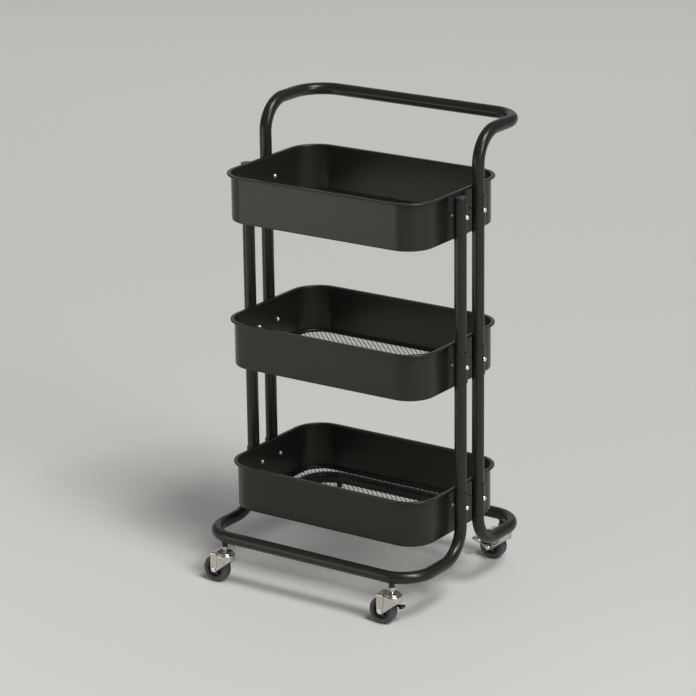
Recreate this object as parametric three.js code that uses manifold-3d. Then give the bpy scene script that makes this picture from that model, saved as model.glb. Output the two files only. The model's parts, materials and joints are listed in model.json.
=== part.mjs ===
import * as THREE from 'three';
import { mergeVertices } from 'three/addons/utils/BufferGeometryUtils.js';
import Module from 'manifold-3d';

// Three-tier rolling utility cart. Millimetres, +Z up, floor at z = 0.
// X runs along the baskets, -Y is the front, +Y is the handle side.

const wasm = await Module();
wasm.setup();

// Tube frames
const TUBE_R = 11;
const TUBE_WALL = 1.0;
const TUBE_SIDES = 16;
const BORE_SIDES = 12;
const POST_X = 226.3;
const POST_Y = 28.6;
const BEND_R = 56;
const CORNER_R = 58;
const BEND_STEPS = 6;
const BASE_Z = 88.3;
const BASE_Y = 184.4;
const HANDLE_Z = 846.8;
const HANDLE_Y = 180.7;
const FRONT_POST_TOP = 743;
const REAR_POST_TOP = 732.7;
const SEAM = 0.3;

// Handle spigots that plug into the rear posts
const SPIGOT_R = 9.4;
const SPIGOT_WALL = 1.2;
const SPIGOT_LOW = 688;
const SPIGOT_HIGH = 736;

// Baskets
const RIM_L = 430;
const RIM_W = 287.4;
const RIM_CORNER = 57.2;
const LIP = 7.3;
const BASKET_H = 86;
const SHEET = 0.8;
const FLANGE = 12;
const CORNER_STEPS = 6;
const RIM_Z = { top: 752.3, middle: 483.1, bottom: 213.1 };
const FLOOR_INSET = 5.5;
const FLOOR_LIFT = 0.3;
const FLOOR_T = 0.8;

// Fixings that hold each basket to each post
const BOLT_Z = { top: 712.2, middle: 441.3, bottom: 180.4 };
const HOLE_R = 2.8;
const SHANK_R = 2.5;
const SADDLE_IN = 11.3;
const SADDLE_OUT = 12.7;
const SADDLE_WRAP = 100;
const SADDLE_UP = 26.5;
const SADDLE_DOWN = 29.5;

// Casters
const CASTER_X = 181.6;
const CASTER_Y = 183.2;
const TRAIL = 18.2;
const WHEEL_R = 24.5;
const WHEEL_W = 21.5;
const LEG_OUT = 13.1;
const FORK_T = 1.2;
const HOOD_R = 18.4;
const HOOD_TOP = 57;
const BOSS_R = 6.3;
const APRON_Z = 43.8;
const APRON_X = 16;
const NECK_R = 4.3;
const AXLE_R = 3;
const RUN = 0.3;
const BUSH_R = 5.2;
const BUSH_LOW = 71;
const LEVER_REACH = 28;
const LEVER_IN = 18.7;
const LEVER_OUT = 20.2;

// Finishes
const BLACK = { color: 0x35332e, roughness: 0.42, metalness: 0.25 };
const BRIGHT = { color: 0xc9c4ba, roughness: 0.25, metalness: 1.0 };
const DARK_PLASTIC = { color: 0x1d1c1a, roughness: 0.6, metalness: 0.0 };
const RUBBER = { color: 0x3a3a3c, roughness: 0.75, metalness: 0.0 };

const group = new THREE.Group();
group.name = 'rolling_cart';

const rad = THREE.MathUtils.degToRad;

function add(name, geometry, finish) {
  const mesh = new THREE.Mesh(geometry, new THREE.MeshStandardMaterial(finish));
  mesh.name = name;
  group.add(mesh);
  return mesh;
}

// ---- Solid helpers --------------------------------------------------------

function toSolid(geometry) {
  const bare = geometry.clone();
  bare.deleteAttribute('normal');
  bare.deleteAttribute('uv');
  const welded = mergeVertices(bare, 1e-4);
  const vertProperties = new Float32Array(welded.attributes.position.array);
  const triVerts = new Uint32Array(welded.index.array);
  return new wasm.Manifold(new wasm.Mesh({ numProp: 3, vertProperties, triVerts }));
}

function toGeometry(solid) {
  const mesh = solid.getMesh();
  const geometry = new THREE.BufferGeometry();
  geometry.setAttribute('position', new THREE.BufferAttribute(mesh.vertProperties, 3));
  geometry.setIndex(new THREE.BufferAttribute(mesh.triVerts, 1));
  geometry.computeVertexNormals();
  return geometry;
}

function circle(r, sides, phase = 0.5) {
  const points = [];
  for (let i = 0; i < sides; i += 1) {
    const a = (2 * Math.PI * (i + phase)) / sides;
    points.push(new THREE.Vector2(r * Math.cos(a), r * Math.sin(a)));
  }
  return points;
}

// Prism of a plan outline between two heights.
function prism(points, z0, z1, holes = []) {
  const shape = new THREE.Shape(points);
  for (const hole of holes) {
    shape.holes.push(new THREE.Path(hole));
  }
  const geometry = new THREE.ExtrudeGeometry(shape, {
    depth: z1 - z0,
    steps: 1,
    bevelEnabled: false,
  });
  geometry.translate(0, 0, z0);
  return geometry;
}

// Prism of an outline drawn in X and Z, from y0 to y1.
function sidePrism(points, y0, y1, holes = []) {
  const geometry = prism(points, 0, y1 - y0, holes);
  geometry.rotateX(Math.PI / 2);
  geometry.translate(0, y1, 0);
  return geometry;
}

function rodX(r, x0, x1, y, z, sides = 8) {
  const geometry = prism(circle(r, sides), x0, x1);
  geometry.rotateY(Math.PI / 2);
  geometry.translate(0, y, z);
  return geometry;
}

function rodZ(r, x, y, z0, z1, sides = 12) {
  const geometry = prism(circle(r, sides), z0, z1);
  geometry.translate(x, y, 0);
  return geometry;
}

// Turned body: profile of [radius, height] pairs, turned about Z.
function turned(profile, sides, closed = false) {
  const points = profile.map(([r, z]) => new THREE.Vector2(r, z));
  if (closed) {
    points.push(points[0].clone());
  }
  const geometry = new THREE.LatheGeometry(points, sides);
  geometry.rotateX(Math.PI / 2);
  return geometry;
}

// ---- Tube frames ----------------------------------------------------------

// A path made of straight runs and bends, with a station only where one is needed.
class StationPath extends THREE.Curve {
  constructor(stations) {
    super();
    this.stations = stations;
  }

  station(u) {
    return this.stations[Math.round(u * (this.stations.length - 1))];
  }

  getPointAt(u, target = new THREE.Vector3()) {
    return target.copy(this.station(u).point);
  }

  getTangentAt(u, target = new THREE.Vector3()) {
    return target.copy(this.station(u).tangent);
  }
}

function bend(centre, from, to, radius) {
  const stations = [];
  for (let i = 0; i <= BEND_STEPS; i += 1) {
    const a = ((Math.PI / 2) * i) / BEND_STEPS;
    const point = centre.clone();
    point.addScaledVector(from, radius * Math.cos(a));
    point.addScaledVector(to, radius * Math.sin(a));
    const tangent = to.clone().multiplyScalar(Math.cos(a));
    tangent.addScaledVector(from, -Math.sin(a));
    stations.push({ point, tangent });
  }
  return stations;
}

// A loop that leaves the two posts of one side, turns level and closes with a bar.
// depth is +1 for the rear and -1 for the front, rise is +1 for up and -1 for down.
function loopPath(endZ, barZ, barY, depth, rise) {
  const out = new THREE.Vector3(0, depth, 0);
  const up = new THREE.Vector3(0, 0, rise);
  const right = new THREE.Vector3(1, 0, 0);
  const left = new THREE.Vector3(-1, 0, 0);
  const y = depth * POST_Y;
  const turnY = depth * (POST_Y + BEND_R);
  const cornerY = depth * (barY - CORNER_R);
  const levelZ = barZ - rise * BEND_R;
  const stations = [];
  stations.push({ point: new THREE.Vector3(POST_X, y, endZ), tangent: up.clone() });
  const back = out.clone().negate();
  stations.push(...bend(new THREE.Vector3(POST_X, turnY, levelZ), back, up, BEND_R));
  stations.push(...bend(new THREE.Vector3(POST_X - CORNER_R, cornerY, barZ), right, out, CORNER_R));
  stations.push(...bend(new THREE.Vector3(CORNER_R - POST_X, cornerY, barZ), out, left, CORNER_R));
  stations.push(...bend(new THREE.Vector3(-POST_X, turnY, levelZ), up, back, BEND_R));
  const down = up.clone().negate();
  stations.push({ point: new THREE.Vector3(-POST_X, y, endZ), tangent: down });
  return new StationPath(stations);
}

function sweptTube(path) {
  const shape = new THREE.Shape(circle(TUBE_R, TUBE_SIDES));
  shape.holes.push(new THREE.Path(circle(TUBE_R - TUBE_WALL, BORE_SIDES)));
  return toSolid(new THREE.ExtrudeGeometry(shape, {
    steps: path.stations.length - 1,
    bevelEnabled: false,
    extrudePath: path,
  }));
}

// Cross holes for the fixing bolts of one row of posts.
function boltHoles(y, levels) {
  const cutters = [];
  for (const level of levels) {
    cutters.push(toSolid(rodX(HOLE_R, -POST_X - 20, POST_X + 20, y, BOLT_Z[level])));
  }
  return cutters;
}

function cutAll(solid, cutters) {
  let result = solid;
  for (const cutter of cutters) {
    result = result.subtract(cutter);
  }
  return result;
}

// A base frame: two posts and a floor loop bent from one tube, with caster bushes.
function baseFrame(depth, topZ) {
  let solid = sweptTube(loopPath(topZ, BASE_Z, BASE_Y, depth, -1));
  for (const side of [-1, 1]) {
    const x = side * CASTER_X;
    const y = depth * CASTER_Y;
    const high = BASE_Z - TUBE_R + TUBE_WALL + 1.4;
    solid = solid.add(toSolid(rodZ(BUSH_R, x, y, BUSH_LOW, high)));
    solid = solid.subtract(toSolid(rodZ(3.5, x, y, BUSH_LOW - 1, high + 2)));
  }
  return cutAll(solid, boltHoles(depth * POST_Y, ['top', 'middle', 'bottom']));
}

function handleFrame() {
  let solid = sweptTube(loopPath(REAR_POST_TOP + SEAM, HANDLE_Z, HANDLE_Y, 1, 1));
  for (const side of [-1, 1]) {
    const x = side * POST_X;
    const collarLow = REAR_POST_TOP + SEAM;
    solid = solid.add(toSolid(rodZ(SPIGOT_R + 1.1, x, POST_Y, collarLow, SPIGOT_HIGH)));
    solid = solid.add(toSolid(rodZ(SPIGOT_R, x, POST_Y, SPIGOT_LOW, SPIGOT_HIGH)));
    const bore = rodZ(SPIGOT_R - SPIGOT_WALL, x, POST_Y, SPIGOT_LOW - 1, SPIGOT_HIGH + 1);
    solid = solid.subtract(toSolid(bore));
  }
  return cutAll(solid, boltHoles(POST_Y, ['top']));
}

add('front_frame', toGeometry(baseFrame(-1, FRONT_POST_TOP)), BLACK);
add('rear_frame', toGeometry(baseFrame(1, REAR_POST_TOP)), BLACK);
add('handle', toGeometry(handleFrame()), BLACK);

// ---- Post caps ------------------------------------------------------------

for (const [side, word] of [[-1, 'left'], [1, 'right']]) {
  const low = FRONT_POST_TOP;
  const cap = turned([
    [0, low - 12],
    [9.5, low - 12],
    [9.5, low + 0.3],
    [12, low + 0.3],
    [12, low + 3],
    [10.4, low + 4.3],
    [0, low + 4.3],
  ], 16);
  cap.translate(side * POST_X, -POST_Y, 0);
  add(`post_cap_${word}`, cap, DARK_PLASTIC);
}

// ---- Baskets --------------------------------------------------------------

// Rounded rectangle of the basket wall's outer face, moved out by the given amount.
function outline(offset) {
  const halfX = RIM_L / 2 - LIP + offset;
  const halfY = RIM_W / 2 - LIP + offset;
  const r = RIM_CORNER - LIP + offset;
  const corners = [[1, 1, 0], [-1, 1, 90], [-1, -1, 180], [1, -1, 270]];
  const points = [];
  for (const [sx, sy, start] of corners) {
    for (let i = 0; i <= CORNER_STEPS; i += 1) {
      const a = rad(start + (90 * i) / CORNER_STEPS);
      const x = sx * (halfX - r) + r * Math.cos(a);
      const y = sy * (halfY - r) + r * Math.sin(a);
      points.push(new THREE.Vector2(x, y));
    }
  }
  return points;
}

// Section of the wall as [offset, height below the rim]: flange, wall and hemmed lip.
const WALL_SECTION = [
  [-FLANGE, -BASKET_H],
  [-1.4, -BASKET_H],
  [0, 1.4 - BASKET_H],
  [0, -4.6],
  [1.4, -3.4],
  [LIP - 0.8, -3.6],
  [LIP, -2.6],
  [LIP, -0.9],
  [LIP - 1, 0],
  [1.6, 0],
  [-SHEET, -2.4],
  [-SHEET, 1.6 - BASKET_H],
  [-1.6, SHEET - BASKET_H],
  [-FLANGE, SHEET - BASKET_H],
];

function ringSolid(section, topZ) {
  const rings = section.map(([offset]) => outline(offset));
  const count = rings[0].length;
  const positions = [];
  const index = [];
  section.forEach(([, height], j) => {
    for (const point of rings[j]) {
      positions.push(point.x, point.y, topZ + height);
    }
  });
  for (let j = 0; j < section.length; j += 1) {
    const k = (j + 1) % section.length;
    for (let i = 0; i < count; i += 1) {
      const n = (i + 1) % count;
      index.push(j * count + i, j * count + n, k * count + n);
      index.push(j * count + i, k * count + n, k * count + i);
    }
  }
  const geometry = new THREE.BufferGeometry();
  geometry.setAttribute('position', new THREE.Float32BufferAttribute(positions, 3));
  geometry.setIndex(index);
  return geometry;
}

for (const level of ['top', 'middle', 'bottom']) {
  const cutters = [];
  for (const y of [-POST_Y, POST_Y]) {
    cutters.push(toSolid(rodX(HOLE_R, -RIM_L / 2, RIM_L / 2, y, BOLT_Z[level])));
  }
  const wall = cutAll(toSolid(ringSolid(WALL_SECTION, RIM_Z[level])), cutters);
  add(`${level}_basket`, toGeometry(wall), BLACK);
  const low = RIM_Z[level] - BASKET_H + SHEET + FLOOR_LIFT;
  add(`${level}_floor`, prism(outline(-FLOOR_INSET), low, low + FLOOR_T), BLACK);
}

// ---- Saddles and bolts ----------------------------------------------------

// Half sleeve round the outer side of a post, open towards the basket.
function saddle(side, y, z) {
  const points = [];
  const steps = 10;
  for (let i = 0; i <= steps; i += 1) {
    const a = rad(-SADDLE_WRAP + (2 * SADDLE_WRAP * i) / steps);
    points.push(new THREE.Vector2(SADDLE_OUT * Math.cos(a), SADDLE_OUT * Math.sin(a)));
  }
  for (let i = steps; i >= 0; i -= 1) {
    const a = rad(-SADDLE_WRAP + (2 * SADDLE_WRAP * i) / steps);
    points.push(new THREE.Vector2(SADDLE_IN * Math.cos(a), SADDLE_IN * Math.sin(a)));
  }
  const geometry = prism(points, -SADDLE_DOWN, SADDLE_UP);
  const solid = toSolid(geometry).subtract(toSolid(rodX(HOLE_R, 6, 20, 0, 0)));
  const cut = toGeometry(solid);
  if (side < 0) {
    cut.rotateZ(Math.PI);
  }
  cut.translate(side * POST_X, y, z);
  return cut;
}

// Through bolt with its head outside, a nut against the wall and one inside the basket.
function bolt(side, y, z) {
  const geometry = turned([
    [0, 203.4],
    [3.2, 203.4],
    [4, 204.3],
    [4, 206.5],
    [SHANK_R, 206.5],
    [SHANK_R, 208],
    [4.2, 208],
    [4.2, 211.4],
    [SHANK_R, 211.4],
    [SHANK_R, 239.4],
    [4.6, 239.4],
    [4.2, 241.2],
    [2.4, 242.4],
    [0, 242.4],
  ], 8);
  geometry.rotateY(Math.PI / 2);
  if (side < 0) {
    geometry.rotateZ(Math.PI);
  }
  geometry.translate(0, y, z);
  return geometry;
}

for (const level of ['top', 'middle', 'bottom']) {
  for (const [side, sideWord] of [[-1, 'left'], [1, 'right']]) {
    for (const [depth, depthWord] of [[-1, 'front'], [1, 'rear']]) {
      const place = `${level}_${depthWord}_${sideWord}`;
      const y = depth * POST_Y;
      add(`saddle_${place}`, saddle(side, y, BOLT_Z[level]), BLACK);
      add(`bolt_${place}`, bolt(side, y, BOLT_Z[level]), BRIGHT);
    }
  }
}

// ---- Casters --------------------------------------------------------------

// Plan outline of the stamped fork: straight legs behind, a round hood in front.
function forkPlan(inset, tail) {
  const leg = LEG_OUT - inset;
  const r = HOOD_R - inset;
  const points = [new THREE.Vector2(tail, -leg), new THREE.Vector2(-11.9, -leg)];
  for (let a = -105; a <= 105; a += 15) {
    points.push(new THREE.Vector2(r * Math.cos(rad(a)), r * Math.sin(rad(a))));
  }
  points.push(new THREE.Vector2(-11.9, leg), new THREE.Vector2(tail, leg));
  return points;
}

// Everything below the fork's lower edge, seen from the side.
function underFork() {
  const slope = Math.atan2(APRON_Z - WHEEL_R + 4.9, APRON_X + TRAIL - 3.9);
  const points = [new THREE.Vector2(-40, 0), new THREE.Vector2(40, 0)];
  points.push(new THREE.Vector2(40, APRON_Z), new THREE.Vector2(APRON_X, APRON_Z));
  const first = slope - Math.PI / 2;
  for (let i = 0; i <= 6; i += 1) {
    const a = first - ((first + Math.PI) * i) / 6;
    const x = -TRAIL + BOSS_R * Math.cos(a);
    points.push(new THREE.Vector2(x, WHEEL_R + BOSS_R * Math.sin(a)));
  }
  points.push(new THREE.Vector2(-40, WHEEL_R));
  return points;
}

function fork() {
  const tail = -TRAIL - BOSS_R;
  const outer = toSolid(prism(forkPlan(0, tail), 8, HOOD_TOP));
  const inner = toSolid(prism(forkPlan(FORK_T, tail - 10), 7, HOOD_TOP - FORK_T));
  let solid = outer.subtract(inner);
  solid = solid.subtract(toSolid(sidePrism(underFork(), -30, 30)));
  solid = solid.add(toSolid(rodZ(14.5, 0, 0, HOOD_TOP - 0.5, HOOD_TOP + 2, 16)));
  solid = solid.subtract(toSolid(rodZ(NECK_R + RUN, 0, 0, 40, HOOD_TOP + 5, 16)));
  const axleHole = sidePrism(circle(AXLE_R + RUN, 12), -30, 30);
  axleHole.translate(-TRAIL, 0, WHEEL_R);
  return toGeometry(solid.subtract(toSolid(axleHole)));
}

function stem() {
  return turned([
    [0, HOOD_TOP - FORK_T - 3.3],
    [6.4, HOOD_TOP - FORK_T - 3.3],
    [6.4, HOOD_TOP - FORK_T - 0.3],
    [NECK_R, HOOD_TOP - FORK_T - 0.3],
    [NECK_R, 64.5],
    [6.3, 64.5],
    [6.3, 70.7],
    [3.2, 70.7],
    [3.2, 84],
    [0, 84],
  ], 12);
}

function tyre() {
  const h = WHEEL_W / 2;
  return turned([
    [16.8, -h + 1.2],
    [18.5, -h],
    [WHEEL_R - 2.2, -h],
    [WHEEL_R, -h + 2.6],
    [WHEEL_R, h - 2.6],
    [WHEEL_R - 2.2, h],
    [18.5, h],
    [16.8, h - 1.2],
  ], 20, true);
}

function hub() {
  return turned([
    [AXLE_R + RUN, -11.4],
    [6, -11.4],
    [6.8, -4],
    [13.4, -4],
    [14.4, -8.6],
    [16.5, -8.6],
    [16.5, 8.6],
    [14.4, 8.6],
    [13.4, 4],
    [6.8, 4],
    [6, 11.4],
    [AXLE_R + RUN, 11.4],
  ], 12, true);
}

// The axle's two heads sit against the legs, or beyond a brake lever on its side.
function axle(lowEnd, highEnd) {
  return turned([
    [0, -lowEnd - 2],
    [3.6, -lowEnd - 2],
    [4.6, -lowEnd - 0.8],
    [4.6, -lowEnd],
    [AXLE_R, -lowEnd],
    [AXLE_R, highEnd],
    [4.6, highEnd],
    [4.6, highEnd + 0.8],
    [3.6, highEnd + 2],
    [0, highEnd + 2],
  ], 10);
}

function onAxle(geometry, x, y) {
  geometry.rotateX(-Math.PI / 2);
  geometry.translate(x - TRAIL, y, WHEEL_R);
  return geometry;
}

// Foot lever that turns on the axle outside one leg and ends in a tread pad.
// reach is +1 when it points to the stem side and -1 when it points behind.
function lever(face, reach, tilt) {
  const hubLow = LEG_OUT + RUN;
  const sideways = (points, a, b) => {
    const low = Math.min(face * a, face * b);
    return toSolid(sidePrism(points, low, Math.max(face * a, face * b)));
  };
  const arm = [];
  for (let i = 0; i <= 6; i += 1) {
    const a = rad(90 + 30 * i);
    arm.push(new THREE.Vector2(5.6 * Math.cos(a), 5.6 * Math.sin(a)));
  }
  arm.push(new THREE.Vector2(LEVER_REACH + 4, -2.5), new THREE.Vector2(LEVER_REACH + 4, 2.5));
  let solid = sideways(arm, LEVER_IN, LEVER_OUT);
  solid = solid.add(sideways(circle(5.6, 12), hubLow, LEVER_OUT));
  const pad = [
    new THREE.Vector2(LEVER_REACH - 1, -2.5),
    new THREE.Vector2(LEVER_REACH + 9, -2.5),
    new THREE.Vector2(LEVER_REACH + 9, 2.5),
    new THREE.Vector2(LEVER_REACH - 1, 2.5),
  ];
  solid = solid.add(sideways(pad, 8, LEVER_OUT));
  solid = solid.subtract(sideways(circle(AXLE_R + RUN, 12), 0, 30));
  const geometry = toGeometry(solid);
  geometry.rotateY(-rad(tilt));
  if (reach < 0) {
    geometry.rotateZ(Math.PI);
  }
  return geometry;
}

const corners = [
  { name: 'front_left', sx: -1, sy: -1, lever: null },
  { name: 'front_right', sx: 1, sy: -1, lever: { face: 1, reach: 1, tilt: 11 } },
  { name: 'rear_left', sx: -1, sy: 1, lever: null },
  { name: 'rear_right', sx: 1, sy: 1, lever: { face: 1, reach: -1, tilt: 20 } },
];

for (const corner of corners) {
  const x = corner.sx * CASTER_X;
  const y = corner.sy * CASTER_Y;
  add(`caster_stem_${corner.name}`, stem().translate(x, y, 0), BRIGHT);
  add(`caster_fork_${corner.name}`, fork().translate(x, y, 0), BRIGHT);
  add(`tyre_${corner.name}`, onAxle(tyre(), x, y), RUBBER);
  add(`wheel_hub_${corner.name}`, onAxle(hub(), x, y), DARK_PLASTIC);
  let lowEnd = LEG_OUT + RUN;
  let highEnd = LEG_OUT + RUN;
  if (corner.lever) {
    const { face, reach, tilt } = corner.lever;
    if (face * reach > 0) {
      highEnd = LEVER_OUT + RUN;
    } else {
      lowEnd = LEVER_OUT + RUN;
    }
    const piece = lever(face, reach, tilt);
    piece.translate(x - TRAIL, y, WHEEL_R);
    const finish = reach > 0 ? DARK_PLASTIC : BRIGHT;
    add(`brake_lever_${corner.name}`, piece, finish);
  }
  add(`axle_${corner.name}`, onAxle(axle(lowEnd, highEnd), x, y), BRIGHT);
}

export default group;
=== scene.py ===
"""Three-tier rolling utility cart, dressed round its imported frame.

Metres, +Z up, floor at z = 0. X runs along the baskets, -Y is the front and +Y
is the handle side. Every new shape is a surface worked out with numpy: a ring
of points carried along a path, or a profile carried round an axis.
"""

import json
import logging
import math
from dataclasses import dataclass, field
from enum import Enum
from typing import Union

import bmesh
import bpy
import numpy as np
from mathutils import Matrix, Vector


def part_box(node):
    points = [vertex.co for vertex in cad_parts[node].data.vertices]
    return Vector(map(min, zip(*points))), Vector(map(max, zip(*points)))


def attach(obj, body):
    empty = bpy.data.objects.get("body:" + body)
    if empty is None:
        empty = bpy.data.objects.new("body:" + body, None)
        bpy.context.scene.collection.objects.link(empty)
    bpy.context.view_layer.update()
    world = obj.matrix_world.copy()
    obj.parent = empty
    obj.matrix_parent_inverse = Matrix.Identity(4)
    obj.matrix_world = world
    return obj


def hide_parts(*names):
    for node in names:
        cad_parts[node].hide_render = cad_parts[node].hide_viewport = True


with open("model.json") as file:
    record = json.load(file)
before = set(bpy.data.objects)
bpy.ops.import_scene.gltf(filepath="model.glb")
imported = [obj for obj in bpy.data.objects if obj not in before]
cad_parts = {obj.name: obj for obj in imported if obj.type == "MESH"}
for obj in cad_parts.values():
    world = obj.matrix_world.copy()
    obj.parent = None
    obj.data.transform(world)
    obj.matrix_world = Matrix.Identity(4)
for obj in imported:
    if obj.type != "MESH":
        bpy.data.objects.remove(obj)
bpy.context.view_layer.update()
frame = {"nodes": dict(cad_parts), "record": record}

LOG = logging.getLogger("cart")
MM = 0.001
WELD = 1e-7
TINY = 1e-12
QUARTER = math.pi / 2
TURN = 2 * math.pi

# Degrees between two faces above which the edge between them stays sharp.
SHARP = 38.0
SHARP_SMALL = 28.0
SHARP_MESH = 20.0

# Share of each finer layer of noise.
LAYER_SHARE = 0.55

Array = np.ndarray
Triple = tuple[float, float, float]
Colour = Triple
Rows = list[Triple]


class Side(Enum):
    """The two ends of a basket, where the posts stand."""

    LEFT = -1
    RIGHT = 1


class Depth(Enum):
    """Front or handle side of the cart."""

    FRONT = -1
    REAR = 1


class Tier(Enum):
    """The three baskets, from the top down."""

    TOP = "top"
    MIDDLE = "middle"
    BOTTOM = "bottom"


class Axis(Enum):
    """Axis a turned part stands on, as the number of places its columns move."""

    Z = 0
    X = 1
    Y = 2


def corner_name(depth: Depth, side: Side) -> str:
    """Words that end the names of the nodes at one corner of the cart."""
    return f"{depth.name.lower()}_{side.name.lower()}"


def middle(node: str) -> Vector:
    """Middle of a CAD node's box."""
    low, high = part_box(node)
    return (low + high) / 2


def placed(name: str, data: bpy.types.ID) -> bpy.types.Object:
    """Adds an object that holds the given mesh, light or camera to the scene."""
    made = bpy.data.objects.new(name, data)
    bpy.context.scene.collection.objects.link(made)
    return made


# ---- Skins ------------------------------------------------------------------


@dataclass
class Skin:
    """Points and four-cornered faces of a closed shape or an open sheet.

    Args:
        points: Array of shape (n, 3).
        quads: Array of shape (m, 4), as places in points.
    """

    points: Array
    quads: Array

    def moved(self, x: float = 0.0, y: float = 0.0, z: float = 0.0) -> "Skin":
        """The same skin, moved."""
        return Skin(self.points + np.array([x, y, z]), self.quads)

    def laid(self, axis: Axis) -> "Skin":
        """The same skin with its Z axis laid along the given axis."""
        return Skin(np.roll(self.points, axis.value, axis=1), self.quads)

    def spun(self, angle: float, axis: Axis = Axis.Z) -> "Skin":
        """The same skin, turned by radians about an axis through the origin."""
        turn = np.array(Matrix.Rotation(angle, 3, axis.name))
        return Skin(self.points @ turn.T, self.quads)

    @staticmethod
    def joined(skins: list["Skin"]) -> "Skin":
        """Several skins as one, with their faces renumbered.

        Args:
            skins: The skins to put together.

        Returns:
            One skin that holds them all.
        """
        starts = np.cumsum([0] + [len(s.points) for s in skins[:-1]])
        quads = [s.quads + start for s, start in zip(skins, starts)]
        return Skin(np.concatenate([s.points for s in skins]), np.concatenate(quads))


def grid_quads(rows: int, columns: int, ring_rows: bool, ring_columns: bool) -> Array:
    """Faces of a grid of points, row after row.

    Args:
        rows: Number of rows of points.
        columns: Number of points in a row.
        ring_rows: Whether the last row joins the first.
        ring_columns: Whether each row closes on itself.

    Returns:
        Faces of shape (m, 4).
    """
    r, c = np.meshgrid(
        np.arange(rows if ring_rows else rows - 1),
        np.arange(columns if ring_columns else columns - 1),
        indexing="ij",
    )
    r_next = (r + 1) % rows
    c_next = (c + 1) % columns
    corners = [
        r * columns + c,
        r * columns + c_next,
        r_next * columns + c_next,
        r_next * columns + c,
    ]
    return np.stack(corners, axis=-1).reshape(-1, 4)


def raised(plan: Array, height: Array | float) -> Array:
    """Points of shape (..., 3) from plan points (..., 2) and a height for each."""
    height = np.broadcast_to(height, plan.shape[:-1])
    return np.concatenate([plan, height[..., None]], axis=-1)


def lofted(rings: Array, loop: bool = False, capped: bool = True) -> Skin:
    """Skin through closed rings of points.

    Args:
        rings: Array of shape (rings, points, 3).
        loop: Whether the last ring joins the first.
        capped: Whether both ends close. Each end ring is repeated, shrunk to its
            middle, so the end is a fan of faces.

    Returns:
        The skin.
    """
    if capped and not loop:
        ends = rings[[0, -1]].mean(axis=1, keepdims=True)
        ends = np.broadcast_to(ends, rings[[0, -1]].shape)
        rings = np.concatenate([ends[:1], rings, ends[1:]])
    rows, columns = rings.shape[:2]
    return Skin(rings.reshape(-1, 3), grid_quads(rows, columns, loop, True))


def softened(corners: Array, cuts: Array, steps: int = 4, closed: bool = True) -> Array:
    """Outline with its corners rounded.

    Each corner P turns into the curve (1-s)^2 A + 2s(1-s) P + s^2 B, where A and B
    lie the cut length from P towards its two neighbours and s runs from 0 to 1.

    Args:
        corners: Array of shape (n, 2).
        cuts: Cut length at each corner, n numbers or one for all.
        steps: Pieces in each rounded corner.
        closed: Whether the last corner joins the first.

    Returns:
        Array of shape (n * (steps + 1), 2).
    """
    corners = np.asarray(corners, float)
    cuts = np.broadcast_to(np.asarray(cuts, float), (len(corners),)).copy()
    before, after = np.roll(corners, 1, axis=0), np.roll(corners, -1, axis=0)
    if not closed:
        cuts[[0, -1]] = 0.0

    def towards(other: Array) -> Array:
        """Points the cut length from each corner towards the other."""
        step = other - corners
        length = np.linalg.norm(step, axis=1, keepdims=True)
        return corners + step / np.maximum(length, TINY) * cuts[:, None]

    s = np.linspace(0.0, 1.0, steps + 1)[None, :, None]
    start, end = towards(before)[:, None], towards(after)[:, None]
    curve = (1 - s) ** 2 * start + 2 * s * (1 - s) * corners[:, None] + s**2 * end
    return curve.reshape(-1, 2)


def turned(
    profile: Array,
    sides: int = 48,
    loop: bool = False,
    flats: tuple[int, float] | None = None,
) -> Skin:
    """Profile of radius and height carried round the Z axis.

    With flats the radius is cut to r = min(profile, a / cos(t)), where a is the
    distance to a flat and t the angle from that flat's middle, as on a nut.

    Args:
        profile: Array of shape (n, 2): radius and height.
        sides: Points round the axis.
        loop: Whether the profile closes on itself, as a tyre's does.
        flats: Number of flats and their distance from the axis.

    Returns:
        The skin.
    """
    angle = np.arange(sides) * (TURN / sides)
    radius = np.broadcast_to(profile[:, :1], (len(profile), sides))
    if flats:
        count, distance = flats
        share = TURN / count
        off = (angle + share / 2) % share - share / 2
        radius = np.minimum(radius, distance / np.cos(off))
    height = np.broadcast_to(profile[:, 1:], radius.shape)
    rings = np.stack([radius * np.cos(angle), radius * np.sin(angle), height], axis=-1)
    return lofted(rings, loop=loop, capped=False)


def mirrored(rows: Rows) -> Rows:
    """Rows of a profile, then the same again on the other side of height 0."""
    return rows + [(radius, -height, cut) for radius, height, cut in reversed(rows)]


def lathed(
    rows: Rows,
    base: float = 0.0,
    sides: int = 48,
    steps: int = 4,
    loop: bool = False,
) -> Skin:
    """Turned part from a table of its profile's corners, in millimetres.

    Args:
        rows: Radius, height above the base and cut length of each corner.
        base: Height of the table's zero, in metres.
        sides: Points round the axis.
        steps: Pieces in each rounded corner, or 0 to leave the corners sharp.
        loop: Whether the profile closes on itself, as a tyre's does.

    Returns:
        The skin.
    """
    table = np.array(rows, float) * MM
    profile = softened(table[:, :2], table[:, 2], steps, closed=loop)
    return turned(profile, sides, loop).moved(z=base)


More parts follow.
